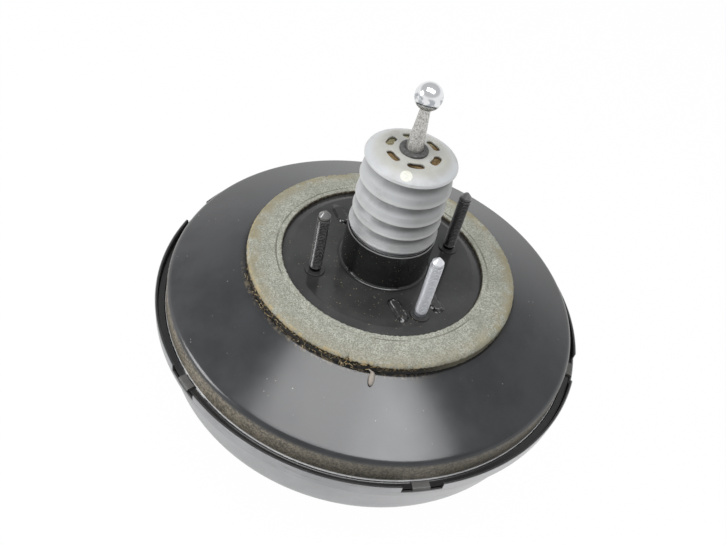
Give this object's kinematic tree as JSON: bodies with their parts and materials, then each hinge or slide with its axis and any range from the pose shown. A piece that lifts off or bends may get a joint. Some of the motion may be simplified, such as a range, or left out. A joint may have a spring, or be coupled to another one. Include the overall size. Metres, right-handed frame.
{
  "type": "vacuum brake booster",
  "caption": "Round pressed-steel vacuum brake booster with foam gasket, mounting studs, rubber bellows and a pedal rod that ends in a ball.",
  "frame": {"origin": "centre of the raised face that is bolted to the bulkhead", "axes": "+Z along the pedal rod, towards the pedal; the bulkhead studs stand at corners of a square with sides along X and Y; the two master cylinder studs lie along X; the vacuum nipple points along +Y"},
  "size_m": [0.2899, 0.29, 0.2612],
  "materials": {
    "black_steel": "gloss black paint on pressed steel, dusty",
    "plain_steel": "bare pressed steel",
    "black_stud": "black coated thread",
    "zinc": "bright zinc plating",
    "spring_steel": "oiled spring wire",
    "brass": "turned",
    "boot_rubber": "light grey, dusty",
    "black_rubber": "satin black",
    "grey_plastic": "dark grey moulded plastic",
    "light_plastic": "natural moulded plastic",
    "foam": "greenish grey open foam, brown at its edge",
    "felt": "tan filter felt"
  },
  "bodies": {
    "housing": {"rear_shell": "black_steel", "front_shell": "black_steel", "foam_gasket": "foam", "bulkhead_stud_1": "black_stud", "bulkhead_stud_2": "black_stud", "bulkhead_stud_3": "zinc", "rear_brace": "plain_steel", "guide_bush": "light_plastic", "neck_seal": "black_rubber", "boot": "boot_rubber", "front_brace": "plain_steel", "cylinder_stud_1": "zinc", "cylinder_stud_2": "zinc", "front_seal": "black_rubber", "valve_grommet": "black_rubber", "check_valve": "grey_plastic"},
    "power_piston": {"valve_body": "grey_plastic", "diaphragm_plate": "plain_steel", "diaphragm": "black_rubber", "return_spring": "spring_steel", "reaction_disc": "black_rubber", "output_rod": "zinc", "stop_key": "plain_steel", "poppet_valve": "black_rubber", "poppet_spring": "spring_steel", "spring_retainer": "light_plastic", "air_filter": "felt"},
    "plunger": {"plunger": "brass", "rod_spring": "spring_steel"},
    "pedal_rod": {"input_rod": "zinc", "rod_bush": "grey_plastic", "boot_felt": "felt"}
  },
  "joints": [
    {"name": "piston_slide", "type": "slide", "parent": "housing", "child": "power_piston", "axis": [0, 0, -1], "range_m": [0, 0.036], "stiffness_N_per_m": 1500, "springref_m": -0.03, "deforming": ["boot", "return_spring", "diaphragm"]},
    {"name": "plunger_slide", "type": "slide", "parent": "power_piston", "child": "plunger", "axis": [0, 0, -1], "range_m": [0, 0.002], "stiffness_N_per_m": 3000, "springref_m": -0.01, "deforming": ["rod_spring", "poppet_valve", "poppet_spring"]},
    {"name": "rod_swing", "type": "hinge", "parent": "plunger", "child": "pedal_rod", "pos_m": [0, 0, 0.001], "axis": [0, 1, 0], "range_deg": [-3, 3]}
  ]
}
